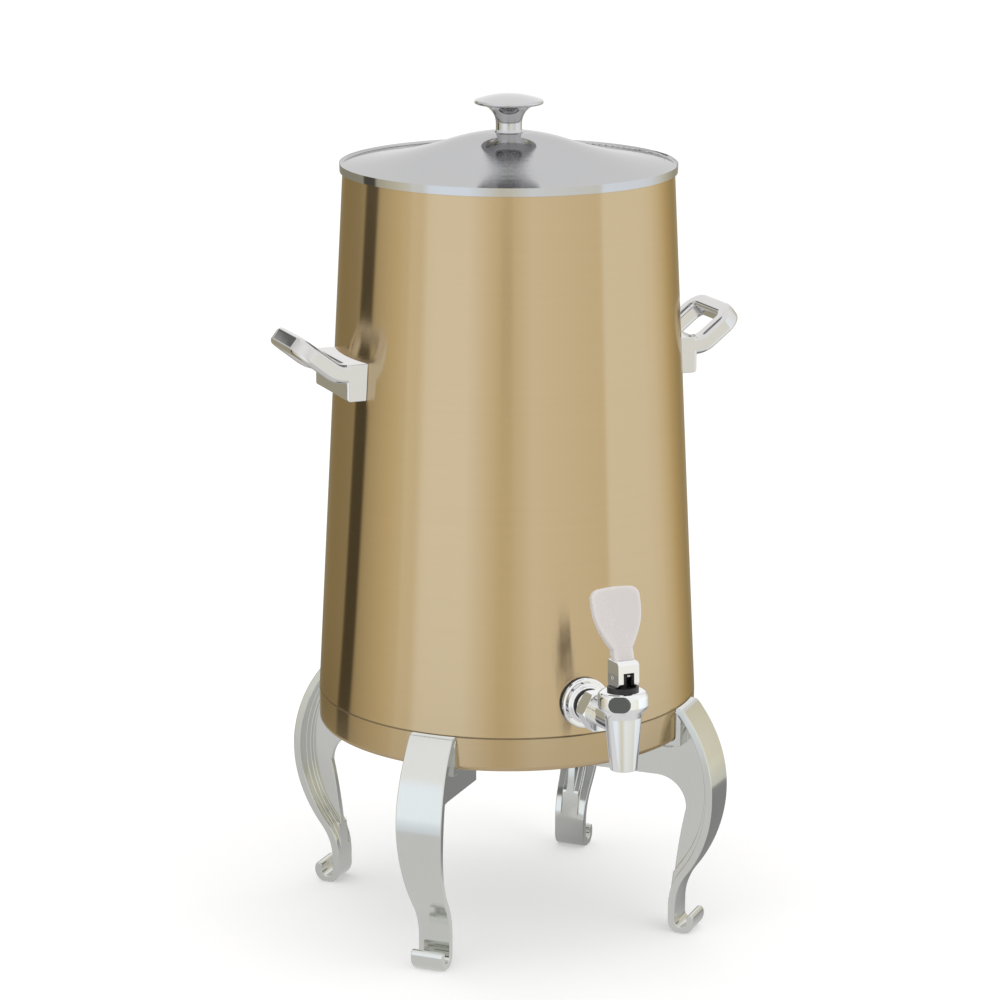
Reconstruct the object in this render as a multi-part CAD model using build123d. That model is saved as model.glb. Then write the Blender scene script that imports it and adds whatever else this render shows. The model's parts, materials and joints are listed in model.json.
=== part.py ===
from build123d import *
import os
from math import asin, atan2, cos, degrees, radians, sin, sqrt

# Insulated beverage urn, in millimetres. The origin is on the table under the middle of the urn,
# +Z is up, the faucet points along -Y and the handles lie along X.

# Body
base_radius = 151.0
wall_draw_in = 21.6
mouth_radius = base_radius - wall_draw_in
band_bottom_z = 162.0
band_height = 27.0
seam_z = band_bottom_z + band_height
shell_height = 416.0
shell_top_z = seam_z + shell_height
sheet = 1.2
seam_groove = 0.7
band_edge_round = 4.0
band_flange_width = 22.0
spigot_height = 8.0
base_plate_thickness = 1.5
insulation_gap = 18.0
liner_wall = 1.0
liner_floor_rise = 1.0
liner_floor_z = seam_z + liner_floor_rise
liner_corner = 8.0
ring_thickness = 2.0
ring_lip_height = 8.0

# Clearances
slip_fit = 0.05
seat_gap = 0.1
soft_gap = 0.3
drill_gap = 0.3
mouth_play = 1.2

# Legs
knee_overhang = 31.0
knee_reach = base_radius + knee_overhang
knee_drop = 45.0
knee_height = band_bottom_z - knee_drop
knee_radius = 112.0
ankle_inset = 0.5
ankle_reach = base_radius - ankle_inset
ankle_radius = 46.5
strap_thickness = 6.0
strap_start_angle = 60.0
strap_top_width = 36.0
strap_knee_width = 38.0
strap_ankle_width = 26.5
strap_top_round = 6.0
scroll_inner_radius = 5.0
scroll_tip_rise = 20.0
ground_flat_depth = 0.5
bead_width = 15.0
bead_depth = 4.5
bead_root = 1.8
web_thickness = 6.5
arm_length = 79.0
arm_inner_reach = base_radius - arm_length
arm_depth = 34.0
arm_bottom_z = band_bottom_z - arm_depth
elbow_radius = 25.0
elbow_overhang = 4.0
elbow_reach = base_radius + elbow_overhang
shin_bow = 1.8
pad_thickness = 4.5
lip_thickness = 4.0
lip_width = 14.4
lip_inner_reach = base_radius - lip_width
leg_names = ["rear_right", "rear_left", "front_left", "front_right"]
leg_angles = {name: 360 * (place + 1 / 2) / len(leg_names) for place, name in enumerate(leg_names)}

# Leg screws
leg_screw_radius = 3.0
leg_screw_inset = 8.9
leg_screw_reach = base_radius - leg_screw_inset
leg_screw_spread = 22.0
leg_screw_head_radius = 5.0
leg_screw_head_height = 2.4
leg_nut_flats = 10.0
leg_nut_height = 5.0
leg_nut_room = 2.0
leg_screw_proud = 2.0

# Handles
handle_drop = 151.5
handle_middle_z = shell_top_z - handle_drop
handle_foot_height = 29.0
handle_foot_width = 72.0
handle_foot_depth = 11.5
handle_foot_round = 3.0
handle_step = 7.0
handle_slope = 38.0
handle_arm_depth = 15.0
handle_arm_width = 13.0
handle_arm_round = 4.0
handle_reach = 54.0
handle_corner_radius = 10.5
handle_crook_radius = 20.0
handle_screw_radius = 2.5
handle_screw_spread = 44.0
handle_screw_bite = 8.0
handle_screw_head_radius = 4.5
handle_screw_head_height = 3.5
backing_plate_width = 64.0
backing_plate_height = 22.0
backing_plate_thickness = 2.0

# Faucet, square to the sloping wall at this height
faucet_rise = 26.0
faucet_z = seam_z + faucet_rise
valve_reach = 72.0
shank_radius = 8.5
shank_bore = 6.0
shank_inside = 14.0
shank_engagement = 10.0
gasket_radius = 19.2
gasket_thickness = 2.2
flange_radius = 19.4
flange_thickness = 4.0
flange_edge_round = 1.6
flange_boss_radius = 14.2
flange_boss_height = 3.5
washer_radius = 12.6
washer_thickness = 2.4
coupling_collar_radius = 11.8
coupling_collar_length = 9.0
coupling_flats = 29.0
coupling_length = 15.0
coupling_chamfer = 1.6
inlet_tube_radius = 10.8
shank_nut_flats = 26.0
shank_nut_length = 7.0
liner_gasket_radius = 14.5
liner_gasket_thickness = 2.5

# Faucet body and valve, heights from the shank axis
spout_tip_drop = 35.5
spout_tip_radius = 10.4
spout_tip_round = 1.0
spout_bore = 7.0
spout_waist_height = 8.0
spout_waist_radius = 14.2
spout_waist_round = 8.0
rim_bottom_height = 13.5
rim_top_height = 26.0
rim_radius = 19.4
rim_round = 5.0
chamber_radius = 9.2
seat_drop = 7.0
seat_cone_depth = 2.5
plug_width = 16.5
plug_tall = 11.5
plug_height = 18.8
plug_turn = 33.0
plug_proud = 0.6
plug_depth = 4.0
bonnet_radius = 12.0
bonnet_height = 3.2
bonnet_round = 1.0
bonnet_thread_radius = 10.2
bonnet_thread_length = 9.0
stem_radius = 3.5
stem_collar_radius = 7.5
stem_collar_height = 2.0
cup_radius = 8.0
cup_height = 5.0
spring_wire = 1.2
spring_radius = 5.4
spring_turns = 5.0
spring_samples = 200

# Lever, with an involute cam foot that lifts the stem at a steady rate
cam_rate = 4.0
cam_base = 7.0
lever_travel = 55.0
cam_steps = 6
fork_width = 17.0
fork_slot = 8.6
fork_back = 8.5
fork_height = 13.0
fork_roof = 8.2
fork_bevel = 2.0
fork_edge_round = 1.2
pin_radius = 1.5
blade_neck_width = 16.0
blade_neck_depth = 11.0
blade_neck_height = 8.0
blade_root = 4.0
blade_width = 39.5
blade_length = 55.0
blade_shoulder = 13.0
blade_flare = 0.55
blade_top_rise = 1.6
blade_corner = 7.5
blade_tip_depth = 6.5
blade_edge_round = 2.2
blade_lean = 16.0

# Lid
lid_overhang = 2.2
lid_rim_radius = mouth_radius + lid_overhang
lid_rim_drop = 0.6
lid_rim_round = 2.5
lid_sheet = 1.0
pan_depth = 10.0
pan_sheet = 1.0
lid_rim_bottom_z = shell_top_z - lid_rim_drop
lid_rim_top_z = shell_top_z + ring_thickness + pan_sheet + seat_gap + lid_sheet
crown_radius = 148.0
crown_reach = 48.0
sweep_radius = 380.0
knob_seat_radius = 14.0
knob_seat_gap = 0.02

# Knob
knob_height = 29.5
knob_top_radius = 27.0
knob_lip_height = 3.4
knob_crown = 4.4
knob_neck_radius = 10.2
knob_foot_radius = 11.4
knob_foot_height = 2.0
knob_screw_radius = 3.0
knob_screw_bite = 14.0
knob_screw_head_radius = 5.5
knob_screw_head_height = 4.0
knob_washer_radius = 9.0
knob_washer_thickness = 1.2


# Shared shapes
def turned(points, radii=0):
    """Solid of revolution about Z from (radius, height) corners, with a fillet radius for each corner."""
    return revolve(Plane.XZ * make_face(FilletPolyline(*points, radius=radii, close=True)), Axis.Z)


def rod(radius, low, high):
    """Upright cylinder about Z between two heights."""
    return Pos(0, 0, (low + high) / 2) * Cylinder(radius, high - low)


def hex_prism(flats, low, high):
    """Upright hexagon about Z between two heights."""
    return Pos(0, 0, low) * extrude(RegularPolygon(flats / 2, 6, major_radius=False), high - low)


def block(x_range, y_range, z_range):
    """Box between two corners."""
    size = [high - low for low, high in (x_range, y_range, z_range)]
    middle = [(high + low) / 2 for low, high in (x_range, y_range, z_range)]
    return Pos(*middle) * Box(*size)


def side_slab(face, width):
    """Side section drawn in (distance out, height), given a width across, centred on the X axis."""
    return extrude(Plane.XZ * face, width / 2, both=True)


# Wall radii at any height
def shell_outer(z):
    return base_radius + (mouth_radius - base_radius) * (z - seam_z) / (shell_top_z - seam_z)


def shell_inner(z):
    return shell_outer(z) - sheet


def liner_outer(z):
    return shell_inner(z) - insulation_gap


def liner_inner(z):
    return liner_outer(z) - liner_wall


def wall_layer(outer, inner, low, high, outside=0.0, inside=0.0):
    """Tapered layer between two wall radii, grown outside and inside by the given amounts."""
    return turned(
        [
            (inner(low) - inside, low),
            (outer(low) + outside, low),
            (outer(high) + outside, high),
            (inner(high) - inside, high),
        ]
    )


def shell_core(grow):
    """Everything inside the outer shell's outer face, grown by a gap."""
    low = band_bottom_z
    high = shell_top_z
    return turned([(0, low), (shell_outer(low) + grow, low), (shell_outer(high) + grow, high), (0, high)])


# The faucet's own frame: its Z axis is the valve axis direction and -Y leads out of the wall
taper = degrees(atan2(base_radius - mouth_radius, shell_top_z - seam_z))
wall_point = Pos(0, -shell_outer(faucet_z), faucet_z)
faucet_frame = wall_point * Rot(-taper, 0, 0)
valve_frame = faucet_frame * Pos(0, -valve_reach, 0)


def along_shank(shape):
    """Stand a shape built about Z in the shank's line, with heights measured out of the wall."""
    return faucet_frame * Rot(90, 0, 0) * shape


def shank_tunnel(radius):
    return along_shank(rod(radius, -2 * insulation_gap - shank_inside, valve_reach))


# Faucet stations, measured out of the wall
flange_start = gasket_thickness
boss_start = flange_start + flange_thickness
washer_start = boss_start + flange_boss_height
collar_start = washer_start + washer_thickness
hex_start = collar_start + coupling_collar_length
inlet_start = hex_start + coupling_length
liner_face = -(sheet + insulation_gap + liner_wall)

# Valve heights from the shank axis
bonnet_bottom = rim_top_height - bonnet_thread_length
bonnet_top = rim_top_height + bonnet_height
pin_height = bonnet_top + cam_base
seat_low = -seat_drop - seat_cone_depth
cup_bottom = seat_low + seat_gap
collar_bottom = cup_bottom + cup_height
collar_top = collar_bottom + stem_collar_height


# Body pieces
handle_pitch = degrees(asin(handle_screw_spread / 2 / shell_outer(handle_middle_z)))
handle_screw_angles = [side + turn for side in (0, 180) for turn in (-handle_pitch, handle_pitch)]
leg_screw_turn = degrees(atan2(leg_screw_spread / 2, leg_screw_reach))
leg_screw_distance = sqrt(leg_screw_reach**2 + (leg_screw_spread / 2) ** 2)
leg_screw_angles = [a + turn for a in leg_angles.values() for turn in (-leg_screw_turn, leg_screw_turn)]
band_inner = base_radius - 2 * sheet - slip_fit
spigot_top_z = seam_z + spigot_height
spigot_lean = shell_inner(seam_z) - shell_inner(spigot_top_z)
plate_bottom_z = band_bottom_z + sheet
plate_top_z = plate_bottom_z + base_plate_thickness


def at_leg_screws(shape):
    """Copies of an upright shape at every leg screw."""
    return [Rot(0, 0, angle) * Pos(leg_screw_distance, 0, 0) * shape for angle in leg_screw_angles]


def at_handle_screws(shape):
    """Copies of a shape built about Z, laid along every handle screw, with height as distance out."""
    level = Pos(0, 0, handle_middle_z)
    return [level * Rot(0, 0, angle) * Rot(0, 90, 0) * shape for angle in handle_screw_angles]


def make_outer_shell():
    shell = turned(
        [
            (shell_inner(seam_z), seam_z),
            (shell_outer(seam_z) - seam_groove, seam_z),
            (shell_outer(seam_z + seam_groove), seam_z + seam_groove),
            (shell_outer(shell_top_z), shell_top_z),
            (shell_inner(shell_top_z), shell_top_z),
        ]
    )
    shell -= shank_tunnel(shank_radius + drill_gap)
    for hole in at_handle_screws(rod(handle_screw_radius + drill_gap, mouth_radius / 2, 2 * base_radius)):
        shell -= hole
    return shell


def make_base_band():
    flange_inner = base_radius - band_flange_width
    spigot_outer = shell_inner(seam_z) - slip_fit
    band = turned(
        [
            (flange_inner, band_bottom_z),
            (base_radius, band_bottom_z),
            (base_radius, seam_z - seam_groove),
            (base_radius - seam_groove, seam_z),
            (spigot_outer, seam_z),
            (spigot_outer - spigot_lean, spigot_top_z),
            (band_inner - spigot_lean, spigot_top_z),
            (band_inner, seam_z),
            (band_inner, plate_bottom_z),
            (flange_inner, plate_bottom_z),
        ],
        [0, band_edge_round, 0, 0, 0, 0, 0, 0, 0, 0],
    )
    for hole in at_leg_screws(rod(leg_screw_radius + drill_gap, 0, seam_z)):
        band -= hole
    return band


def make_base_plate():
    plate = rod(band_inner - slip_fit, plate_bottom_z, plate_top_z)
    for hole in at_leg_screws(rod(leg_screw_radius + drill_gap, 0, seam_z)):
        plate -= hole
    return plate


def make_inner_liner():
    floor = liner_floor_z
    top = shell_top_z
    liner = turned(
        [
            (0, floor),
            (liner_outer(floor), floor),
            (liner_outer(top), top),
            (liner_inner(top), top),
            (liner_inner(floor), floor + liner_wall),
            (0, floor + liner_wall),
        ],
        [0, liner_corner, 0, 0, liner_corner - liner_wall, 0],
    )
    return liner - shank_tunnel(shank_radius + drill_gap)


def make_mouth_ring():
    top = shell_top_z
    lip_end = top - ring_lip_height
    ring = turned(
        [
            (liner_inner(top), top),
            (shell_outer(top), top),
            (shell_outer(top), top + ring_thickness),
            (liner_inner(top), top + ring_thickness),
        ],
        [0, 0, ring_thickness / 2, ring_thickness / 2],
    )

    def lip_outer(z):
        return shell_inner(z) - slip_fit

    def collar_inner(z):
        return liner_outer(z) + slip_fit

    ring += wall_layer(lip_outer, lip_outer, lip_end, top, inside=sheet)
    ring += wall_layer(collar_inner, collar_inner, lip_end, top, outside=sheet)
    return ring


def make_insulation_jacket():
    low = spigot_top_z + soft_gap
    high = shell_top_z - ring_lip_height - soft_gap
    jacket = wall_layer(shell_inner, liner_outer, low, high, outside=-soft_gap, inside=-soft_gap)
    jacket -= shank_tunnel(shank_radius + drill_gap)
    half_width = backing_plate_width / 2 + soft_gap
    half_height = backing_plate_height / 2 + soft_gap
    pocket = block(
        (-base_radius, base_radius),
        (-half_width, half_width),
        (handle_middle_z - half_height, handle_middle_z + half_height),
    )
    screw_room = backing_plate_thickness + handle_screw_head_height + 4 * soft_gap
    outer_part = wall_layer(shell_outer, shell_inner, low, high, inside=screw_room)
    return jacket - (pocket & outer_part)


def make_insulation_base():
    pad = rod(band_inner - spigot_lean - soft_gap, plate_top_z, liner_floor_z - soft_gap)
    room = rod(leg_nut_flats / 2 + leg_nut_room, 0, plate_top_z + leg_nut_height + leg_screw_proud + soft_gap)
    for pocket in at_leg_screws(room):
        pad -= pocket
    return pad


# Legs
knee_middle = (knee_reach - knee_radius, knee_height)
ankle_middle_reach = ankle_reach + ankle_radius
ankle_run = ankle_middle_reach - knee_middle[0]
ankle_height = knee_height - sqrt((knee_radius + ankle_radius) ** 2 - ankle_run**2)
turn_angle = degrees(atan2(ankle_height - knee_height, ankle_run))
scroll_outer_radius = scroll_inner_radius + strap_thickness
scroll_middle = (ankle_reach + scroll_inner_radius, scroll_outer_radius - ground_flat_depth)


def strap_curve(depth):
    """Side curve of the strap at a depth behind its outer face: knee, ankle, shank line and scroll."""
    knee_sweep = turn_angle - strap_start_angle
    knee = CenterArc(knee_middle, knee_radius - depth, strap_start_angle, knee_sweep)
    ankle = CenterArc((ankle_middle_reach, ankle_height), ankle_radius + depth, 180 + turn_angle, -turn_angle)
    drop = Line((ankle_reach - depth, ankle_height), (ankle_reach - depth, scroll_middle[1]))
    scroll = CenterArc(scroll_middle, scroll_inner_radius + depth, 180, 180 + scroll_tip_rise)
    return [knee, ankle, drop, scroll]


def strap_section():
    """Side section of the strap, one thickness deep, with a round tip on the scroll."""
    outer = strap_curve(0)
    inner = strap_curve(strap_thickness)
    middle = strap_curve(strap_thickness / 2)
    tip_point = middle[-1] @ 1 + (middle[-1] % 1) * (strap_thickness / 2)
    tip = ThreePointArc(outer[-1] @ 1, tip_point, inner[-1] @ 1)
    top = Line(outer[0] @ 0, inner[0] @ 0)
    return make_face(outer + inner + [tip, top])


def band_section(near, far):
    """Side section of the strip between two depths behind the strap's outer face, knee to ankle."""
    first = strap_curve(near)[:2]
    second = strap_curve(far)[:2]
    ends = [Line(first[0] @ 0, second[0] @ 0), Line(first[1] @ 1, second[1] @ 1)]
    return make_face(first + second + ends)


def strap_outline():
    """Front outline of the strap, wide at the knee and narrow at the ankle."""
    top = (strap_top_width / 2, seam_z)
    knee = (strap_knee_width / 2, knee_height + strap_thickness)
    ankle = (strap_ankle_width / 2, ankle_height)
    side = Spline(top, knee, ankle, tangents=((0, -1), (0, -1)))
    foot = Line(ankle, (ankle[0], 0))
    half = [side, foot]
    other = [mirror(edge, Plane.YZ) for edge in half]
    ends = [Line((-top[0], seam_z), top), Line((-ankle[0], 0), (ankle[0], 0))]
    return make_face(half + other + ends)


def web_section():
    """Side section of the web: the arm under the base, the elbow and the shin down to the ankle."""
    core = strap_curve(strap_thickness / 2)[:2]
    inner_ankle = (ankle_reach - strap_thickness, ankle_height)
    elbow_middle = (elbow_reach - elbow_radius, arm_bottom_z - elbow_radius)
    elbow = CenterArc(elbow_middle, elbow_radius, 0, 90)
    shin_start = elbow @ 0
    shin_middle = (
        (shin_start.X + inner_ankle[0]) / 2 - shin_bow,
        (shin_start.Y + inner_ankle[1]) / 2,
    )
    shin = ThreePointArc(shin_start, shin_middle, inner_ankle)
    arm = Polyline(
        elbow @ 1,
        (arm_inner_reach, arm_bottom_z),
        (arm_inner_reach, band_bottom_z),
        (base_radius, band_bottom_z),
        (base_radius, seam_z),
        core[0] @ 0,
    )
    toe = Line(inner_ankle, core[1] @ 1)
    return make_face(core + [toe, shin, elbow, arm])


def leg_limit():
    """Side section that holds the leg and rounds the strap's top edge into the knee curve."""
    middle_z = seam_z - strap_top_round
    inner_radius = knee_radius - strap_top_round
    start = asin((middle_z - knee_height) / inner_radius)
    middle_reach = knee_middle[0] + inner_radius * cos(start)
    top = CenterArc((middle_reach, middle_z), strap_top_round, degrees(start), 90 - degrees(start))
    far = 2 * base_radius
    rest = Polyline(top @ 1, (0, seam_z), (0, 0), (far, 0), (far, (top @ 0).Y), top @ 0)
    return make_face([top, rest])


def make_leg():
    strap = side_slab(strap_section(), 2 * strap_knee_width)
    front = extrude(Plane.YZ * strap_outline(), 2 * knee_reach)
    strap = strap & front
    web = side_slab(web_section(), web_thickness)
    bead_face = band_section(strap_thickness - bead_root, strap_thickness + bead_depth) & web_section()
    bead = side_slab(bead_face, bead_width)
    half = strap_top_width / 2
    pad = rod(base_radius + pad_thickness, band_bottom_z - lip_thickness, seam_z)
    pad &= block((0, 2 * base_radius), (-half, half), (0, seam_z))
    pad -= block((0, lip_inner_reach), (-half, half), (0, seam_z))
    leg = strap + web + bead + pad
    leg &= side_slab(leg_limit(), 2 * strap_knee_width)
    seat_radius = base_radius + seat_gap
    low = band_bottom_z
    high = 2 * seam_z
    seat_corners = [(0, low), (seat_radius, low), (seat_radius, high), (0, high)]
    leg -= turned(seat_corners, [0, band_edge_round, 0, 0])
    hole = rod(leg_screw_radius + drill_gap, low - lip_thickness - leg_screw_head_height, seam_z)
    for side in (-leg_screw_turn, leg_screw_turn):
        leg -= Rot(0, 0, side) * Pos(leg_screw_distance, 0, 0) * hole
    return leg


def make_leg_screws():
    seat = band_bottom_z - lip_thickness
    screw = rod(leg_screw_head_radius, seat - leg_screw_head_height, seat)
    screw += rod(leg_screw_radius, seat, plate_top_z + leg_nut_height + leg_screw_proud)
    return Compound(at_leg_screws(screw))


def make_leg_nuts():
    nut = hex_prism(leg_nut_flats, plate_top_z, plate_top_z + leg_nut_height)
    nut -= rod(leg_screw_radius + slip_fit, 0, seam_z)
    return Compound(at_leg_screws(nut))


# Handles
def make_handle():
    """Cast loop: a rounded bar swept out of the foot, up the slope, across the grip and back."""
    slope = radians(handle_slope)
    foot_low = handle_middle_z - handle_foot_height / 2
    foot_high = handle_middle_z + handle_foot_height / 2
    foot_out = shell_outer(handle_middle_z) + handle_foot_depth
    run = Vector(cos(slope), sin(slope))
    rise = Vector(-sin(slope), cos(slope))
    step = Vector(foot_out, foot_low + handle_step)
    arm_z = foot_high - handle_arm_depth / 2
    bar_line = step + rise * (handle_arm_depth / 2)
    crook = bar_line + run * ((arm_z - bar_line.Y) / sin(slope))
    grip = bar_line + run * (handle_reach - handle_arm_width / 2)
    side = (handle_foot_width - handle_arm_width) / 2
    root = mouth_radius - handle_foot_depth
    path = FilletPolyline(
        (root, -side, arm_z),
        (crook.X, -side, crook.Y),
        (grip.X, -side, grip.Y),
        (grip.X, side, grip.Y),
        (crook.X, side, crook.Y),
        (root, side, arm_z),
        radius=[handle_crook_radius, handle_corner_radius, handle_corner_radius, handle_crook_radius],
    )
    bar = RectangleRounded(handle_arm_width, handle_arm_depth, handle_arm_round)
    loop = sweep(Plane((root, -side, arm_z), x_dir=(0, 1, 0), z_dir=(1, 0, 0)) * bar, path)
    half = handle_foot_width / 2
    foot = block((root, foot_out), (-half, half), (foot_low, foot_high))
    foot = fillet(foot.faces().sort_by(Axis.X)[-1].edges(), handle_foot_round)
    loop += foot
    loop -= shell_core(seat_gap)
    for turn in (-handle_pitch, handle_pitch):
        bite = shell_outer(handle_middle_z) + handle_screw_bite + drill_gap
        drill = rod(handle_screw_radius + slip_fit, mouth_radius / 2, bite)
        loop -= Pos(0, 0, handle_middle_z) * Rot(0, 0, turn) * Rot(0, 90, 0) * drill
    return loop


plate_outer = -soft_gap
plate_inner = plate_outer - backing_plate_thickness


def make_handle_backing_plates():
    low = handle_middle_z - backing_plate_height / 2
    high = handle_middle_z + backing_plate_height / 2
    half = backing_plate_width / 2
    layer = wall_layer(shell_inner, shell_inner, low, high, outside=plate_outer, inside=-plate_inner)
    for hole in at_handle_screws(rod(handle_screw_radius + drill_gap, mouth_radius / 2, 2 * base_radius)):
        layer -= hole
    right = layer & block((0, 2 * base_radius), (-half, half), (low, high))
    return Compound([right, Rot(0, 0, 180) * right])


def make_handle_screws():
    head_seat = shell_inner(handle_middle_z + handle_screw_head_radius) + plate_inner - seat_gap
    screw = rod(handle_screw_head_radius, head_seat - handle_screw_head_height, head_seat)
    screw += rod(handle_screw_radius, head_seat, shell_outer(handle_middle_z) + handle_screw_bite)
    return Compound(at_handle_screws(screw))


# Faucet, fixed pieces
def make_faucet_shank():
    tube = rod(shank_radius, liner_face - shank_inside, inlet_start + shank_engagement)
    tube -= rod(shank_bore, liner_face - 2 * shank_inside, valve_reach)
    return along_shank(tube)


def make_flange_gasket():
    ring = rod(gasket_radius, liner_face, flange_start)
    ring -= rod(shank_radius + drill_gap, liner_face, flange_start)
    return along_shank(ring) - shell_core(seat_gap)


def make_wall_flange():
    front = boss_start + flange_boss_height
    return along_shank(
        turned(
            [
                (shank_radius + drill_gap, flange_start),
                (flange_radius, flange_start),
                (flange_radius, boss_start),
                (flange_boss_radius, boss_start),
                (flange_boss_radius, front),
                (shank_radius + drill_gap, front),
            ],
            [0, 0, flange_edge_round, flange_edge_round, flange_edge_round, 0],
        )
    )


def make_flange_washer():
    ring = rod(washer_radius, washer_start, collar_start)
    return along_shank(ring - rod(shank_radius + drill_gap, 0, valve_reach))


def make_coupling_nut():
    nut = rod(coupling_collar_radius, collar_start, hex_start)
    nut += hex_prism(coupling_flats, hex_start, inlet_start)
    cone_radius = coupling_flats / 2 + coupling_chamfer / 2
    cut = turned(
        [
            (0, collar_start),
            (cone_radius, collar_start),
            (cone_radius, hex_start),
            (cone_radius + coupling_chamfer, hex_start + coupling_chamfer),
            (cone_radius + coupling_chamfer, inlet_start - coupling_chamfer),
            (cone_radius, inlet_start),
            (0, inlet_start),
        ]
    )
    nut &= cut
    return along_shank(nut - rod(shank_radius + slip_fit, 0, valve_reach))


def make_shank_nut():
    face = liner_face - liner_gasket_thickness
    nut = hex_prism(shank_nut_flats, face - shank_nut_length, face)
    return along_shank(nut - rod(shank_radius + slip_fit, 2 * face - shank_inside, 0))


def make_liner_gasket():
    face = liner_face - liner_gasket_thickness
    ring = rod(liner_gasket_radius, face, 0)
    ring -= rod(shank_radius + drill_gap, 2 * face, 0)
    low = liner_floor_z + liner_wall + seat_gap
    inside = turned(
        [
            (0, low),
            (liner_inner(low) - seat_gap, low),
            (liner_inner(shell_top_z) - seat_gap, shell_top_z),
            (0, shell_top_z),
        ]
    )
    return along_shank(ring) & inside


def make_faucet_body():
    body = turned(
        [
            (0, -spout_tip_drop),
            (spout_tip_radius, -spout_tip_drop),
            (spout_waist_radius, spout_waist_height),
            (rim_radius, rim_bottom_height),
            (rim_radius, rim_top_height),
            (0, rim_top_height),
        ],
        [0, spout_tip_round, spout_waist_round, rim_round, rim_round, 0],
    )
    inlet = Rot(90, 0, 0) * rod(inlet_tube_radius, inlet_start - valve_reach, 0)
    body += inlet
    body -= turned(
        [
            (0, -spout_tip_drop),
            (spout_bore, -spout_tip_drop),
            (spout_bore, seat_low),
            (chamber_radius, -seat_drop),
            (chamber_radius, bonnet_bottom),
            (bonnet_thread_radius, bonnet_bottom),
            (bonnet_thread_radius, rim_top_height),
            (0, rim_top_height),
        ]
    )
    body -= Rot(90, 0, 0) * rod(shank_bore, inlet_start - valve_reach, 0)
    socket_end = inlet_start + shank_engagement + seat_gap - valve_reach
    body -= Rot(90, 0, 0) * rod(shank_radius + slip_fit, inlet_start - valve_reach, socket_end)
    body -= plug_blank(slip_fit, seat_gap)
    return valve_frame * body


def plug_blank(grow, gap):
    """Long round plug let into the body's head, turned to one side of the front."""
    start = rim_radius + plug_proud - plug_depth - gap
    outline = SlotOverall(plug_width + 2 * grow, plug_tall + 2 * grow)
    plug = Pos(0, 0, start) * extrude(outline, plug_depth + gap)
    return Rot(0, 0, -plug_turn) * Pos(0, 0, plug_height) * Rot(90, 0, 0) * plug


def make_faucet_plug():
    return valve_frame * plug_blank(0, 0)


def make_bonnet_cap():
    inner = stem_radius + slip_fit
    return valve_frame * turned(
        [
            (inner, bonnet_bottom),
            (bonnet_thread_radius - slip_fit, bonnet_bottom),
            (bonnet_thread_radius - slip_fit, rim_top_height),
            (bonnet_radius, rim_top_height),
            (bonnet_radius, bonnet_top),
            (inner, bonnet_top),
        ],
        [0, 0, 0, 0, bonnet_round, 0],
    )


# Stem and its spring
def make_faucet_stem():
    stem = rod(stem_radius, collar_bottom, pin_height)
    stem += rod(stem_collar_radius, collar_bottom, collar_top)
    stem += Pos(0, 0, pin_height) * Sphere(stem_radius)
    stem -= Pos(0, 0, pin_height) * Rot(0, 90, 0) * Cylinder(pin_radius + slip_fit, fork_width)
    return valve_frame * stem


def make_seat_cup():
    cone_share = (cup_radius - spout_bore) / (chamber_radius - spout_bore)
    cup_shoulder = cup_bottom + seat_cone_depth * cone_share
    return valve_frame * turned(
        [
            (0, cup_bottom),
            (spout_bore, cup_bottom),
            (cup_radius, cup_shoulder),
            (cup_radius, collar_bottom),
            (0, collar_bottom),
        ]
    )


def coil_gap(coil):
    """Least gap between turns of the spring, measured on points along its wire."""
    points = [coil @ (step / spring_samples) for step in range(spring_samples + 1)]
    half_turn = round(spring_samples / spring_turns / 2)
    spans = [(a - b).length for i, a in enumerate(points) for b in points[i + half_turn :]]
    return min(spans) - spring_wire


def make_stem_spring():
    low = collar_top + spring_wire / 2 + seat_gap
    high = bonnet_bottom - spring_wire / 2 - seat_gap
    coil = Helix((high - low) / spring_turns, high - low, spring_radius)
    print("stem spring, least gap between turns", round(coil_gap(coil), 2), "mm")
    start = Plane(coil @ 0, z_dir=coil % 0)
    wire = sweep(start * Circle(spring_wire / 2), coil)
    return valve_frame * Pos(0, 0, low) * wire


# Lever
def cam_point(tilt):
    """Point of the cam foot that touches the bonnet at this tilt: distance forward and height from the pin."""
    height = cam_base + cam_rate * tilt
    return (cam_rate * cos(tilt) + height * sin(tilt), cam_rate * sin(tilt) - height * cos(tilt))


def make_lever_fork():
    limit = radians(lever_travel)
    cam = Spline(*[cam_point(limit * step / cam_steps) for step in range(cam_steps + 1)])
    nose = cam @ 1
    top = fork_height
    outline = Polyline(
        nose,
        (nose.X, top - fork_bevel),
        (nose.X - fork_bevel, top),
        (-fork_back, top),
        (-fork_back, -cam_base),
        cam @ 0,
    )
    fork = extrude(Plane.YZ * mirror(make_face([cam, outline]), Plane.YZ), fork_width / 2, both=True)
    edges = fork.edges().filter_by(Axis.X).group_by(Axis.Z)[-1]
    fork = fillet(edges, fork_edge_round)
    slot = block(
        (-fork_slot / 2, fork_slot / 2),
        (-2 * fork_width, stem_radius + 2 * seat_gap),
        (-2 * cam_base, top - fork_roof),
    )
    fork -= slot
    fork -= Rot(0, 90, 0) * Cylinder(pin_radius + slip_fit, 2 * fork_width)
    return valve_frame * Pos(0, 0, pin_height) * fork


def make_lever_pin():
    return valve_frame * Pos(0, 0, pin_height) * Rot(0, 90, 0) * Cylinder(pin_radius, fork_width)


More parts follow.
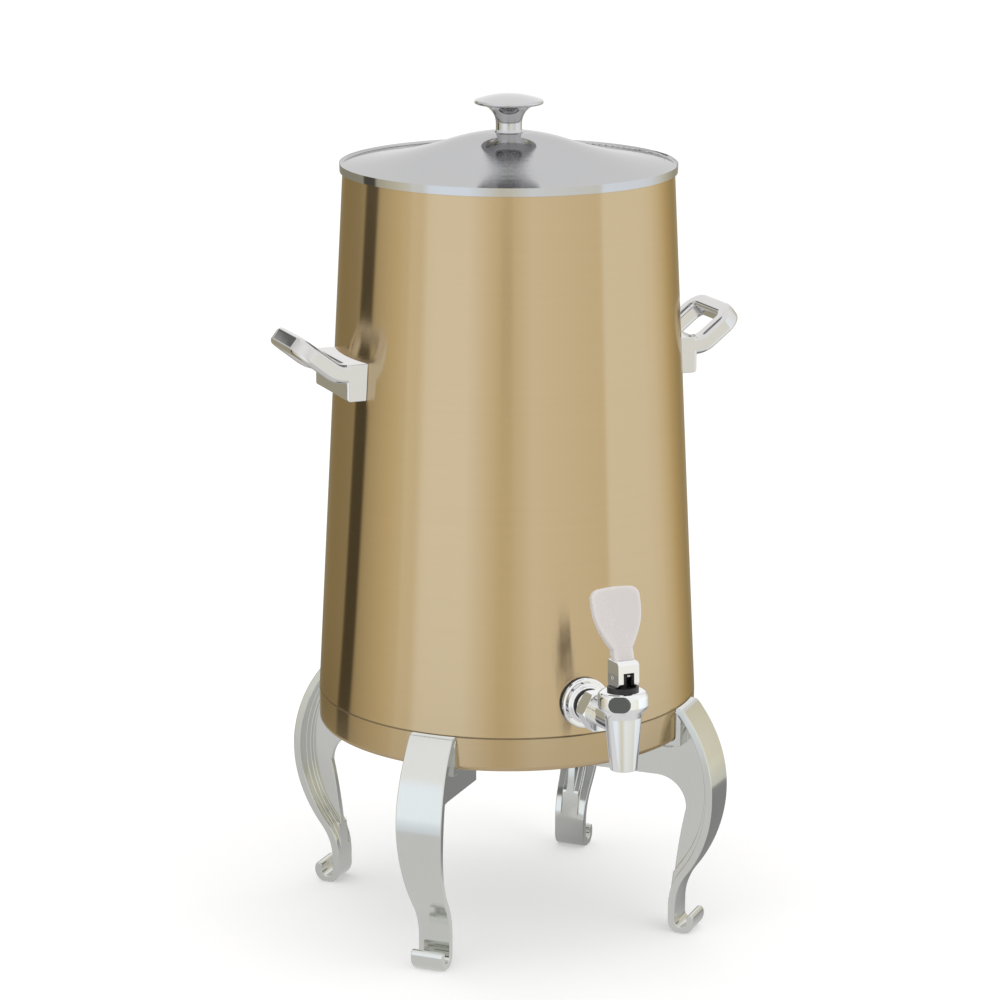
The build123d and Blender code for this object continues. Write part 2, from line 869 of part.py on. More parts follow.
def blade_outline():
    """Front outline of the blade: straight neck, widening paddle and a top that is nearly flat."""
    neck_half = blade_neck_width / 2
    half = blade_width / 2
    corner_height = blade_length - blade_top_rise
    neck = Line((neck_half, -blade_root), (neck_half, blade_neck_height))
    flank = Spline(neck @ 1, (half, blade_length - blade_shoulder), tangents=((blade_flare, 1), (0, 1)))
    edge = Line(flank @ 1, (half, corner_height))
    right = [neck, flank, edge]
    left = [mirror(line, Plane.YZ) for line in right]
    top = ThreePointArc((-half, corner_height), (0, blade_length), (half, corner_height))
    bottom = Line((-neck_half, -blade_root), (neck_half, -blade_root))
    face = make_face(right + left + [top, bottom])
    return fillet(face.vertices().group_by(Axis.Y)[-1], blade_corner)


def make_lever_blade():
    root_half = blade_neck_depth / 2
    tip_half = blade_tip_depth / 2
    profile = Polyline(
        (-root_half, -blade_root),
        (-tip_half, blade_length),
        (tip_half, blade_length),
        (root_half, -blade_root),
        close=True,
    )
    blade = extrude(Plane.XZ * blade_outline(), blade_neck_depth, both=True)
    blade &= extrude(Plane.YZ * make_face(profile), blade_width, both=True)
    broad_faces = blade.faces().sort_by(Axis.Y)
    edges = broad_faces[0].edges().sort_by(Axis.Z)[1:] + broad_faces[-1].edges().sort_by(Axis.Z)[1:]
    blade = Rot(-blade_lean, 0, 0) * fillet(edges, blade_edge_round)
    blade &= block((-blade_width, blade_width), (-blade_length, blade_length), (0, 2 * blade_length))
    return valve_frame * Pos(0, 0, pin_height + fork_height) * blade


# Lid
crown_angle = asin(crown_reach / crown_radius)
edge_reach = lid_rim_radius - lid_rim_round
edge_angle = asin(sin(crown_angle) - (edge_reach - crown_reach) / sweep_radius)
crown_drop = crown_radius * (1 - cos(crown_angle))
sweep_drop = sweep_radius * (cos(edge_angle) - cos(crown_angle))
dome_top_z = lid_rim_top_z + crown_drop + sweep_drop
knob_seat_z = dome_top_z - crown_radius * (1 - cos(asin(knob_seat_radius / crown_radius)))


def dome_curve(depth):
    """Crown arc and sweep arc of the dome at a depth under its outer face, from the knob seat to the edge."""
    crown_middle = (0, dome_top_z - crown_radius)
    sweep_middle_reach = crown_reach + sweep_radius * sin(crown_angle)
    sweep_middle_z = dome_top_z - crown_drop + sweep_radius * cos(crown_angle)
    start = 90 - degrees(asin(knob_seat_radius / (crown_radius - depth)))
    crown_end = 90 - degrees(crown_angle)
    crown = CenterArc(crown_middle, crown_radius - depth, start, crown_end - start)
    sweep_start = 270 - degrees(crown_angle)
    sweep_size = degrees(crown_angle - edge_angle)
    curve = CenterArc((sweep_middle_reach, sweep_middle_z), sweep_radius + depth, sweep_start, sweep_size)
    return [crown, curve]


def make_lid_shell():
    top = dome_curve(0)
    under = dome_curve(lid_sheet)
    edge_top = top[1] @ 1
    edge_under = under[1] @ 1
    inner = lid_rim_radius - lid_sheet
    shoulder_z = lid_rim_top_z - lid_rim_round
    roll = JernArc(edge_top, top[1] % 1, -lid_rim_round, 90 - degrees(edge_angle))
    rim = Polyline(
        roll @ 1,
        (lid_rim_radius, lid_rim_bottom_z),
        (inner, lid_rim_bottom_z),
        (inner, shoulder_z),
        edge_under,
    )
    seat = Line((0, (top[0] @ 0).Y), top[0] @ 0)
    seat_under = Line((0, (under[0] @ 0).Y), under[0] @ 0)
    axis = Line(seat @ 0, seat_under @ 0)
    face = make_face(top + under + [roll, rim, seat, seat_under, axis])
    lid = revolve(Plane.XZ * face, Axis.Z)
    return lid - rod(knob_screw_radius + drill_gap, 0, 2 * dome_top_z)


def make_lid_pan():
    seat = shell_top_z + ring_thickness
    wall = liner_inner(shell_top_z) - mouth_play
    flange = edge_reach - slip_fit
    floor = seat - pan_depth
    return turned(
        [
            (0, floor),
            (wall, floor),
            (wall, seat),
            (flange, seat),
            (flange, seat + pan_sheet),
            (wall - pan_sheet, seat + pan_sheet),
            (wall - pan_sheet, floor + pan_sheet),
            (0, floor + pan_sheet),
        ],
        [0, 3 * pan_sheet, 0, 0, 0, 0, 2 * pan_sheet, 0],
    )


knob_base_z = knob_seat_z + knob_seat_gap
knob_top_z = knob_base_z + knob_height


def make_lid_knob():
    lip_top = knob_top_z - knob_crown
    lip_low = lip_top - knob_lip_height
    lip_reach = knob_top_radius - knob_lip_height / 2
    flare_radius = lip_reach - knob_neck_radius
    flare = CenterArc((lip_reach, lip_low - flare_radius), flare_radius, 180, -90)
    lip = CenterArc((lip_reach, (lip_low + lip_top) / 2), knob_lip_height / 2, -90, 180)
    crown_bend = (lip_reach**2 + knob_crown**2) / (2 * knob_crown)
    crown = RadiusArc((0, knob_top_z), (lip_reach, lip_top), crown_bend)
    stem = Polyline(
        (0, knob_top_z),
        (0, knob_base_z),
        (knob_foot_radius, knob_base_z),
        (knob_neck_radius, knob_base_z + knob_foot_height),
        flare @ 0,
    )
    knob = revolve(Plane.XZ * make_face([flare, lip, crown, stem]), Axis.Z)
    return knob - rod(knob_screw_radius + slip_fit, 0, knob_base_z + knob_screw_bite + drill_gap)


knob_washer_top = knob_seat_z - lid_sheet - seat_gap


def make_knob_washer():
    washer = rod(knob_washer_radius, knob_washer_top - knob_washer_thickness, knob_washer_top)
    return washer - rod(knob_screw_radius + drill_gap, 0, 2 * dome_top_z)


def make_knob_screw():
    seat = knob_washer_top - knob_washer_thickness
    screw = rod(knob_screw_head_radius, seat - knob_screw_head_height, seat)
    return screw + rod(knob_screw_radius, seat, knob_base_z + knob_screw_bite)


# Assembly
handle = make_handle()
leg = make_leg()
nodes = {
    "outer_shell": make_outer_shell(),
    "base_band": make_base_band(),
    "base_plate": make_base_plate(),
    "inner_liner": make_inner_liner(),
    "mouth_ring": make_mouth_ring(),
    "insulation_jacket": make_insulation_jacket(),
    "insulation_base": make_insulation_base(),
    "leg_screws": make_leg_screws(),
    "leg_nuts": make_leg_nuts(),
    "handle_right": handle,
    "handle_left": Rot(0, 0, 180) * handle,
    "handle_backing_plates": make_handle_backing_plates(),
    "handle_screws": make_handle_screws(),
    "faucet_shank": make_faucet_shank(),
    "flange_gasket": make_flange_gasket(),
    "wall_flange": make_wall_flange(),
    "flange_washer": make_flange_washer(),
    "coupling_nut": make_coupling_nut(),
    "shank_nut": make_shank_nut(),
    "liner_gasket": make_liner_gasket(),
    "faucet_body": make_faucet_body(),
    "faucet_plug": make_faucet_plug(),
    "bonnet_cap": make_bonnet_cap(),
    "faucet_stem": make_faucet_stem(),
    "seat_cup": make_seat_cup(),
    "stem_spring": make_stem_spring(),
    "lever_fork": make_lever_fork(),
    "lever_pin": make_lever_pin(),
    "lever_blade": make_lever_blade(),
    "lid_shell": make_lid_shell(),
    "lid_pan": make_lid_pan(),
    "lid_knob": make_lid_knob(),
    "knob_washer": make_knob_washer(),
    "knob_screw": make_knob_screw(),
}
for name, angle in leg_angles.items():
    nodes["leg_" + name] = Rot(0, 0, angle) * leg

os.makedirs("parts", exist_ok=True)
for name, shape in nodes.items():
    export_step(shape, "parts/" + name + ".step")
    print(name, round(shape.volume / 1000, 2), "cm3")
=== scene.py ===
"""Looks of the insulated beverage urn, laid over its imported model."""

import json
from math import cos, pi, radians, sin

import bpy
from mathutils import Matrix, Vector


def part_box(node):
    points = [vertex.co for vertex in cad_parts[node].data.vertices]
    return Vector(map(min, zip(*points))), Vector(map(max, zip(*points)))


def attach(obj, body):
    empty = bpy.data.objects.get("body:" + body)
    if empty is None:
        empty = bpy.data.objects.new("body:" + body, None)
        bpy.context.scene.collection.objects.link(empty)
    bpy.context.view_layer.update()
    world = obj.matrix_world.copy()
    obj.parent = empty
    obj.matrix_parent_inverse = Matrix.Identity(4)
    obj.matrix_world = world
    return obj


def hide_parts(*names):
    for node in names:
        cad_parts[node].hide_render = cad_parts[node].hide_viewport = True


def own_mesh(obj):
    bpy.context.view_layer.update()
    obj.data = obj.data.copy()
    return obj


bl_info = {
    "name": "Beverage urn looks",
    "version": (1, 0, 0),
    "blender": (4, 5, 0),
    "location": "3D View > Sidebar > Urn",
    "description": "Finishes, small modelled details and studio stage of an insulated beverage urn",
    "category": "Object",
}

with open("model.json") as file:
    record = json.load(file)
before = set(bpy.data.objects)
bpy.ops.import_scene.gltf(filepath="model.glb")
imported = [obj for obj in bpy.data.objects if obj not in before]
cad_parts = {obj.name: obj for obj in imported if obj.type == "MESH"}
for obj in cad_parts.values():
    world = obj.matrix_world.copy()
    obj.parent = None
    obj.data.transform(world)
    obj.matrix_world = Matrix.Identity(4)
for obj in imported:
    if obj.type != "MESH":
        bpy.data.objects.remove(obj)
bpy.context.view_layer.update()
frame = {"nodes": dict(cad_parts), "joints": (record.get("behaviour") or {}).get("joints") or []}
nodes = frame["nodes"]

LEGS = ("leg_front_left", "leg_front_right", "leg_rear_left", "leg_rear_right")
LEG_TURNS = (45, 135, 225, 315)

# Mirrors don't show these, so that the plated pieces reflect a white studio and no gold
WALLS = ("outer_shell", "base_band", "insulation_jacket", "insulation_base", "inner_liner")

# Dark line between shell and band: its height, half its width without and with its soft edge, and its shade
SEAM_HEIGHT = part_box("outer_shell")[0].z
SEAM_HALF_WIDTH = 0.0005
SEAM_SOFT_EDGE = 0.0009
SEAM_SHADE = 0.62

# How a copy of a CAD piece is cleaned, rounded and shaded
MERGE_DISTANCE = 0.00001
FLAT_ANGLE = radians(0.1)
SHARP_ANGLE = radians(35)
SMOOTH_ANGLE = radians(40)
BEVEL_SEGMENTS = 3


# Shader wiring
class Wire:
    """A shader socket that takes part in plain arithmetic."""

    def __init__(self, finish, socket):
        self.finish = finish
        self.socket = socket

    def maths(self, operation, first, second):
        return self.finish.node("ShaderNodeMath", {"operation": operation}, {0: first, 1: second})

    def __add__(self, other):
        return self.maths("ADD", self, other)

    def __radd__(self, other):
        return self.maths("ADD", other, self)

    def __sub__(self, other):
        return self.maths("SUBTRACT", self, other)

    def __rsub__(self, other):
        return self.maths("SUBTRACT", other, self)

    def __mul__(self, other):
        return self.maths("MULTIPLY", self, other)

    def __rmul__(self, other):
        return self.maths("MULTIPLY", other, self)

    def __truediv__(self, other):
        return self.maths("DIVIDE", self, other)

    def __rtruediv__(self, other):
        return self.maths("DIVIDE", other, self)

    def __pow__(self, other):
        return self.maths("POWER", self, other)

    def __rpow__(self, other):
        return self.maths("POWER", other, self)


class Finish:
    """A node tree being filled: a material's or the world's."""

    def __init__(self, owner):
        owner.use_nodes = True
        self.owner = owner
        self.tree = owner.node_tree
        self.tree.nodes.clear()

    def node(self, kind, settings=None, inputs=None, output=0):
        """Add a node, apply its settings, then fill its sockets, and give one of its outputs."""
        made = self.tree.nodes.new(kind)
        for key, value in (settings or {}).items():
            if key == "stops":
                set_stops(made.color_ramp, value)
            else:
                setattr(made, key, value)
        for key, value in (inputs or {}).items():
            if isinstance(value, Wire):
                self.tree.links.new(value.socket, made.inputs[key])
            else:
                made.inputs[key].default_value = value
        return Wire(self, made.outputs[output]) if made.outputs else None

    def place(self, scale=(1, 1, 1), turn=(0, 0, 0)):
        """Object coordinates, stretched and turned."""
        here = self.node("ShaderNodeTexCoord", output="Object")
        return self.node("ShaderNodeMapping", None, {"Vector": here, "Scale": scale, "Rotation": turn})

    def along(self, axis):
        """One of the object coordinates: 0 is X, 1 is Y and 2 is Z."""
        here = self.node("ShaderNodeTexCoord", output="Object")
        return self.node("ShaderNodeSeparateXYZ", None, {0: here}, output=axis)

    def off_axis(self):
        """Distance from the upright axis through the origin."""
        east = self.along(0)
        north = self.along(1)
        return (east * east + north * north) ** 0.5

    def noise(self, where, scale, detail=3.0, rough=0.55):
        return self.node(
            "ShaderNodeTexNoise",
            None,
            {"Vector": where, "Scale": scale, "Detail": detail, "Roughness": rough},
        )

    def blend(self, share, first, second):
        """Mix of two colours."""
        return self.node(
            "ShaderNodeMix",
            {"data_type": "RGBA"},
            {0: share, 6: first, 7: second},
            output=2,
        )

    def fade(self, value, start, end):
        """0 at one value and 1 at another, with a straight rise between."""
        return self.node("ShaderNodeMapRange", None, {"Value": value, "From Min": start, "From Max": end})

    def within(self, value, band):
        """1 in the middle of a band of values and 0 outside it, with a straight rise and fall."""
        start, full, fading, end = band
        return self.fade(value, start, full) * self.fade(value, end, fading)

    def larger(self, first, second):
        return self.node("ShaderNodeMath", {"operation": "MAXIMUM"}, {0: first, 1: second})

    def ramp(self, value, stops):
        return self.node("ShaderNodeValToRGB", {"stops": stops}, {0: value})

    def bump(self, height, strength, distance):
        return self.node(
            "ShaderNodeBump",
            None,
            {"Height": height, "Strength": strength, "Distance": distance},
        )

    def surface(self, shader):
        """Show a shader on the material or world, and give that."""
        for_world = isinstance(self.owner, bpy.types.World)
        kind = "ShaderNodeOutputWorld" if for_world else "ShaderNodeOutputMaterial"
        self.node(kind, None, {"Surface": shader})
        return self.owner

    def principled(self, **sockets):
        """Show a principled shader, with its sockets named with _ for a space."""
        named = {key.replace("_", " "): value for key, value in sockets.items()}
        return self.surface(self.node("ShaderNodeBsdfPrincipled", None, named))


def set_stops(ramp, stops):
    """Fill a colour ramp from (place, grey or colour) pairs."""
    while len(ramp.elements) < len(stops):
        ramp.elements.new(0.5)
    for element, (place, colour) in zip(ramp.elements, stops):
        element.position = place
        element.color = rgba(colour) if isinstance(colour, tuple) else grey(colour)


def rgba(colour):
    return (*colour, 1)


def grey(level):
    return (level, level, level, 1)


def shade(colour, factor):
    """A colour made darker or lighter by a factor."""
    return (*(channel * factor for channel in colour[:3]), 1)


def new_finish(name):
    return Finish(bpy.data.materials.new(name))


def coat_nodes(material, *names):
    """Give CAD nodes a material."""
    for name in names:
        slots = nodes[name].data.materials
        slots.clear()
        slots.append(material)


# Piece making
def pick(piece):
    """Make a piece the only selected object."""
    bpy.ops.object.select_all(action="DESELECT")
    piece.select_set(True)
    bpy.context.view_layer.objects.active = piece


def apply_modifier(kind, **settings):
    """Add a modifier to the picked piece, set it and apply it."""
    bpy.ops.object.modifier_add(type=kind)
    modifier = bpy.context.object.modifiers[-1]
    for key, value in settings.items():
        setattr(modifier, key, value)
    bpy.ops.object.modifier_apply(modifier=modifier.name)


def even_shading():
    """Shade the picked piece smooth, with edges kept and flat faces lying flat."""
    bpy.ops.object.shade_smooth_by_angle(angle=SMOOTH_ANGLE)
    apply_modifier("WEIGHTED_NORMAL", keep_sharp=True)


def dressed(name, body, material, edge):
    """Copy of a CAD piece that takes its place, with its facets joined and any sharp edges rounded."""
    piece = bpy.data.objects.new(name + "_dressed", nodes[name].data.copy())
    bpy.context.scene.collection.objects.link(piece)
    pick(piece)
    bpy.ops.mesh.customdata_custom_splitnormals_clear()
    bpy.ops.object.mode_set(mode="EDIT")
    bpy.ops.mesh.select_all(action="SELECT")
    bpy.ops.mesh.remove_doubles(threshold=MERGE_DISTANCE)
    bpy.ops.mesh.dissolve_limited(angle_limit=FLAT_ANGLE)
    bpy.ops.object.mode_set(mode="OBJECT")
    if edge:
        apply_modifier(
            "BEVEL",
            width=edge,
            segments=BEVEL_SEGMENTS,
            limit_method="ANGLE",
            angle_limit=SHARP_ANGLE,
            use_clamp_overlap=False,
        )
    even_shading()
    piece.data.materials.clear()
    piece.data.materials.append(material)
    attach(piece, body)
    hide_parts(name)
    return piece


# Finishes
def gold_steel(look):
    """Gold coloured steel brushed round the body: fine level lines, soft bands and a faint cloudiness."""
    finish = new_finish("gold_steel")
    lines = finish.noise(finish.place(scale=(4, 4, 2600)), scale=1.0, detail=3.0, rough=0.6)
    bands = finish.noise(finish.place(scale=(1.2, 1.2, 190)), scale=1.0, detail=2.0)
    cloud = finish.noise(finish.place(), scale=7.0, detail=2.0)
    tone = lines * 0.5 + bands * 0.3 + cloud * 0.2
    gold = rgba(look.gold)
    colour = finish.blend(tone, shade(gold, 0.95), shade(gold, 1.05))
    above_seam = finish.along(2) - SEAM_HEIGHT
    off_seam = finish.node("ShaderNodeMath", {"operation": "ABSOLUTE"}, {0: above_seam})
    groove = finish.fade(off_seam, SEAM_SOFT_EDGE, SEAM_HALF_WIDTH)
    return finish.principled(
        Base_Color=finish.blend(groove, colour, shade(gold, SEAM_SHADE)),
        Metallic=1.0,
        Roughness=0.11 + lines * 0.05 + cloud * 0.03 + groove * 0.4,
        Specular_Tint=rgba(look.gold_edge),
        Anisotropic=1.0,
        Anisotropic_Rotation=0.25,
        Normal=finish.bump(lines, strength=0.05, distance=0.0002),
    )


def spun_steel(look):
    """Satin steel spun on a lathe: rings round the axis and a soft sheen."""
    finish = new_finish("spun_steel")
    spread = finish.node("ShaderNodeCombineXYZ", None, {0: finish.off_axis() * 900.0})
    rings = finish.noise(spread, scale=1.0, detail=3.0, rough=0.6)
    cloud = finish.noise(finish.place(), scale=9.0, detail=2.0)
    steel = rgba(look.satin)
    colour = finish.blend(rings * 0.6 + cloud * 0.4, shade(steel, 0.94), shade(steel, 1.05))
    return finish.principled(
        Base_Color=colour,
        Metallic=1.0,
        Roughness=0.04 + rings * 0.06 + cloud * 0.02,
        Specular_Tint=grey(0.8),
        Anisotropic=0.3,
        Anisotropic_Rotation=0.25,
        Normal=finish.bump(rings, strength=0.06, distance=0.0003),
    )


def cast_polish(name, colour, base_rough, grain):
    """Polished metal: slow unevenness of the surface, fine polishing scratches and a soft roughness."""
    finish = new_finish(name)
    swell = finish.noise(finish.place(), scale=26.0, detail=2.0)
    scratch = finish.noise(finish.place(scale=(900, 900, 60), turn=(0.4, 0.2, 0.6)), scale=1.0)
    tint = finish.blend(scratch * 0.5 + swell * 0.5, shade(colour, 0.95), shade(colour, 1.04))
    return finish.principled(
        Base_Color=tint,
        Metallic=1.0,
        Roughness=base_rough + scratch * grain + swell * grain,
        Normal=finish.bump(swell, strength=0.10, distance=0.001),
    )


def rubber(name, colour):
    """Matt rubber with a fine grain and a dusty bloom."""
    finish = new_finish(name)
    grain = finish.noise(finish.place(), scale=1400.0)
    bloom = finish.noise(finish.place(), scale=60.0)
    return finish.principled(
        Base_Color=finish.blend(bloom, shade(colour, 0.8), shade(colour, 1.6)),
        Roughness=0.5 + grain * 0.3,
        Normal=finish.bump(grain, strength=0.25, distance=0.0003),
    )


def moulded(name, colour, base_rough, milky=0.0):
    """Moulded plastic: faint flow marks and a soft gloss, with some light let into it where it is milky."""
    finish = new_finish(name)
    flow = finish.noise(finish.place(scale=(40, 40, 14)), scale=1.0)
    skin = finish.noise(finish.place(), scale=700.0, detail=2.0)
    return finish.principled(
        Base_Color=finish.blend(flow, shade(colour, 0.95), shade(colour, 1.04)),
        Roughness=base_rough + flow * 0.08 + skin * 0.05,
        Subsurface_Weight=milky,
        Subsurface_Radius=(1.0, 0.95, 0.9),
        Subsurface_Scale=0.006,
        Normal=finish.bump(skin, strength=0.03, distance=0.0002),
    )


def fibre_blanket(look):
    """Insulating blanket: matted fibres in two shades."""
    finish = new_finish("fibre_blanket")
    fibres = finish.noise(finish.place(scale=(300, 300, 1500)), scale=1.0, detail=5.0, rough=0.7)
    tufts = finish.noise(finish.place(), scale=45.0, detail=4.0)
    colour = rgba(look.blanket)
    return finish.principled(
        Base_Color=finish.blend(fibres * 0.6 + tufts * 0.4, shade(colour, 0.7), shade(colour, 1.1)),
        Roughness=0.95,
        Normal=finish.bump(fibres + tufts, strength=0.7, distance=0.002),
    )


# Settings
class UrnSizes(bpy.types.PropertyGroup):
    """Sizes of the small details."""

    sheet_edge: bpy.props.FloatProperty(
        name="Sheet edge",
        description="Rounding of the lid's and knob's sharp edges",
        unit="LENGTH",
        default=0.0002,
        precision=5,
    )
    leg_edge: bpy.props.FloatProperty(
        name="Leg edge",
        description="Rounding of the cast legs' sharp edges",
        unit="LENGTH",
        default=0.0008,
        precision=5,
    )
    handle_edge: bpy.props.FloatProperty(
        name="Handle edge",
        description="Rounding of the handles' sharp edges",
        unit="LENGTH",
        default=0.0006,
        precision=5,
    )
    faucet_edge: bpy.props.FloatProperty(
        name="Faucet edge",
        description="Rounding of the faucet's and lever's sharp edges",
        unit="LENGTH",
        default=0.0003,
        precision=5,
    )
    pin_edge: bpy.props.FloatProperty(
        name="Pin edge",
        description="Rounding of the lever pin's ends",
        unit="LENGTH",
        default=0.0005,
        precision=5,
    )
    screw_edge: bpy.props.FloatProperty(
        name="Screw edge",
        description="Rounding of the leg screws' heads",
        unit="LENGTH",
        default=0.0006,
        precision=5,
    )
    screw_ring: bpy.props.FloatProperty(
        name="Screw ring",
        description="Distance of the leg screws from the urn's axis",
        unit="LENGTH",
        default=0.14252,
        precision=5,
    )
    screw_turn: bpy.props.FloatProperty(
        name="Screw turn",
        description="Turn of a leg screw to either side of its leg",
        subtype="ANGLE",
        default=radians(4.4265),
    )
    socket_width: bpy.props.FloatProperty(
        name="Socket width",
        description="Width across the flats of a leg screw's socket",
        unit="LENGTH",
        default=0.004,
        precision=5,
    )
    socket_depth: bpy.props.FloatProperty(
        name="Socket depth",
        description="Depth of a leg screw's socket",
        unit="LENGTH",
        default=0.0014,
        precision=5,
    )


class UrnLook(bpy.types.PropertyGroup):
    """Colours of the urn's finishes."""

    gold: bpy.props.FloatVectorProperty(
        name="Gold steel",
        description="Colour of the brushed body and its base band",
        subtype="COLOR",
        default=(0.56, 0.43, 0.26),
        min=0,
        max=1,
    )
    gold_edge: bpy.props.FloatVectorProperty(
        name="Gold at the edge",
        description="Tint of the gold steel where it is seen at a glancing angle",
        subtype="COLOR",
        default=(0.80, 0.71, 0.56),
        min=0,
        max=1,
    )
    satin: bpy.props.FloatVectorProperty(
        name="Satin steel",
        description="Colour of the spun lid and its pan, the liner, mouth ring and base plate",
        subtype="COLOR",
        default=(0.56, 0.56, 0.57),
        min=0,
        max=1,
    )
    legs: bpy.props.FloatVectorProperty(
        name="Leg casting",
        description="Colour of the polished legs",
        subtype="COLOR",
        default=(0.69, 0.695, 0.665),
        min=0,
        max=1,
    )
    chrome: bpy.props.FloatVectorProperty(
        name="Chrome",
        description="Colour of the plated faucet",
        subtype="COLOR",
        default=(0.88, 0.88, 0.885),
        min=0,
        max=1,
    )
    handles: bpy.props.FloatVectorProperty(
        name="Handles",
        description="Colour of the polished handles",
        subtype="COLOR",
        default=(0.70, 0.69, 0.685),
        min=0,
        max=1,
    )
    knob: bpy.props.FloatVectorProperty(
        name="Knob",
        description="Colour of the polished knob",
        subtype="COLOR",
        default=(0.61, 0.61, 0.62),
        min=0,
        max=1,
    )
    steel: bpy.props.FloatVectorProperty(
        name="Plain steel",
        description="Colour of the screws, nuts, backing plates and stem spring",
        subtype="COLOR",
        default=(0.48, 0.48, 0.47),
        min=0,
        max=1,
    )
    blade: bpy.props.FloatVectorProperty(
        name="Lever blade",
        description="Colour of the white lever blade",
        subtype="COLOR",
        default=(0.66, 0.625, 0.61),
        min=0,
        max=1,
    )
    black: bpy.props.FloatVectorProperty(
        name="Black pieces",
        description="Colour of the gaskets, washer, bonnet and stem",
        subtype="COLOR",
        default=(0.012, 0.012, 0.013),
        min=0,
        max=1,
    )
    cup: bpy.props.FloatVectorProperty(
        name="Seat cup",
        description="Colour of the valve's soft seat cup",
        subtype="COLOR",
        default=(0.6, 0.57, 0.5),
        min=0,
        max=1,
    )
    plug: bpy.props.FloatVectorProperty(
        name="Faucet plug",
        description="Colour of the round plug on the faucet's front",
        subtype="COLOR",
        default=(0.075, 0.08, 0.075),
        min=0,
        max=1,
    )
    blanket: bpy.props.FloatVectorProperty(
        name="Insulation",
        description="Colour of the fibre blanket between the walls",
        subtype="COLOR",
        default=(0.72, 0.66, 0.48),
        min=0,
        max=1,
    )


class UrnStage(bpy.types.PropertyGroup):
    """Camera, floor and light of the studio."""

    camera_at: bpy.props.FloatVectorProperty(
        name="Camera",
        description="Where the camera stands",
        subtype="TRANSLATION",
        unit="LENGTH",
        default=(-1.063, -2.484, 1.017),
    )
    pitch: bpy.props.FloatProperty(
        name="Pitch",
        description="How far the camera looks down",
        subtype="ANGLE",
        default=radians(14.07),
    )
    heading: bpy.props.FloatProperty(
        name="Heading",
        description="Turn of the camera about the vertical",
        subtype="ANGLE",
        default=radians(-23.04),
    )
    roll: bpy.props.FloatProperty(
        name="Roll",
        description="Turn of the camera about its own axis",
        subtype="ANGLE",
        default=radians(0.17),
    )
    lens: bpy.props.FloatProperty(
        name="Lens",
        description="Focal length on a 36 mm sensor, in millimetres",
        default=125.9,
        min=10,
    )
    floor_size: bpy.props.FloatProperty(
        name="Floor",
        description="Width of the floor",
        unit="LENGTH",
        default=40.0,
    )
    tent_radius: bpy.props.FloatProperty(
        name="Tent radius",
        description="Distance of the light tent's wall from the urn",
        unit="LENGTH",
        default=1.6,
    )
    tent_height: bpy.props.FloatProperty(
        name="Tent height",
        description="Height of the light tent's wall",
        unit="LENGTH",
        default=2.4,
    )
    tent_skirt: bpy.props.FloatProperty(
        name="Tent skirt",
        description="Inner radius of the tent's skirt on the floor",
        unit="LENGTH",
        default=0.05,
    )
    panel_low: bpy.props.FloatProperty(
        name="Panel fade start",
        description="Height at which the tent behind the urn starts to fade into white",
        unit="LENGTH",
        default=0.40,
    )
    panel_high: bpy.props.FloatProperty(
        name="Panel fade end",
        description="Height at which the tent behind the urn is white, and the rest starts to lose colour",
        unit="LENGTH",
        default=0.58,
    )
    mat_radius: bpy.props.FloatProperty(
        name="Mat radius",
        description="Radius of the darker mat that the urn stands on, as polished pieces see it",
        unit="LENGTH",
        default=0.55,
    )
    mat_dusk: bpy.props.FloatProperty(
        name="Mat dusk",
        description="Brightness of the skirt at the mat's edge beside its brightness further out",
        subtype="FACTOR",
        default=0.75,
        min=0,
        max=1,
    )
    strip_level: bpy.props.FloatProperty(
        name="Strip level",
        description="Brightness of the dark strip that hangs in the tent",
        subtype="FACTOR",
        default=0.10,
        min=0,
        max=1,
    )
    strip_slant: bpy.props.FloatProperty(
        name="Strip slant",
        description="Lean of the dark strip, in turns for each metre of height",
        default=0.035,
    )


# Pieces
class URN_OT_body(bpy.types.Operator):
    """Finish the shell, band, liner and the pieces between the walls."""

    bl_idname = "urn.body"
    bl_label = "Body"

    def execute(self, context):
        look = context.scene.urn_look
        coat_nodes(gold_steel(look), "outer_shell", "base_band")
        coat_nodes(spun_steel(look), "lid_pan", "mouth_ring", "inner_liner", "base_plate")
        coat_nodes(fibre_blanket(look), "insulation_jacket", "insulation_base")
        plain = cast_polish("plain_steel", rgba(look.steel), base_rough=0.25, grain=0.1)
        coat_nodes(plain, "leg_nuts", "handle_backing_plates", "handle_screws", "shank_nut")
        coat_nodes(plain, "knob_washer", "knob_screw")
        return {"FINISHED"}


class URN_OT_lid(bpy.types.Operator):
    """Dress the spun lid and its knob."""

    bl_idname = "urn.lid"
    bl_label = "Lid and knob"

    def execute(self, context):
        sizes = context.scene.urn_sizes
        satin = bpy.data.materials["spun_steel"]
        dressed("lid_shell", "lid", satin, sizes.sheet_edge)
        knob = rgba(context.scene.urn_look.knob)
        polish = cast_polish("knob_polish", knob, base_rough=0.03, grain=0.02)
        dressed("lid_knob", "lid", polish, sizes.sheet_edge)
        return {"FINISHED"}


class URN_OT_legs(bpy.types.Operator):
    """Dress the four cast legs."""

    bl_idname = "urn.legs"
    bl_label = "Legs"

    def execute(self, context):
        look = context.scene.urn_look
        casting = cast_polish("leg_casting", rgba(look.legs), base_rough=0.08, grain=0.04)
        for name in LEGS:
            dressed(name, "urn", casting, context.scene.urn_sizes.leg_edge)
        return {"FINISHED"}


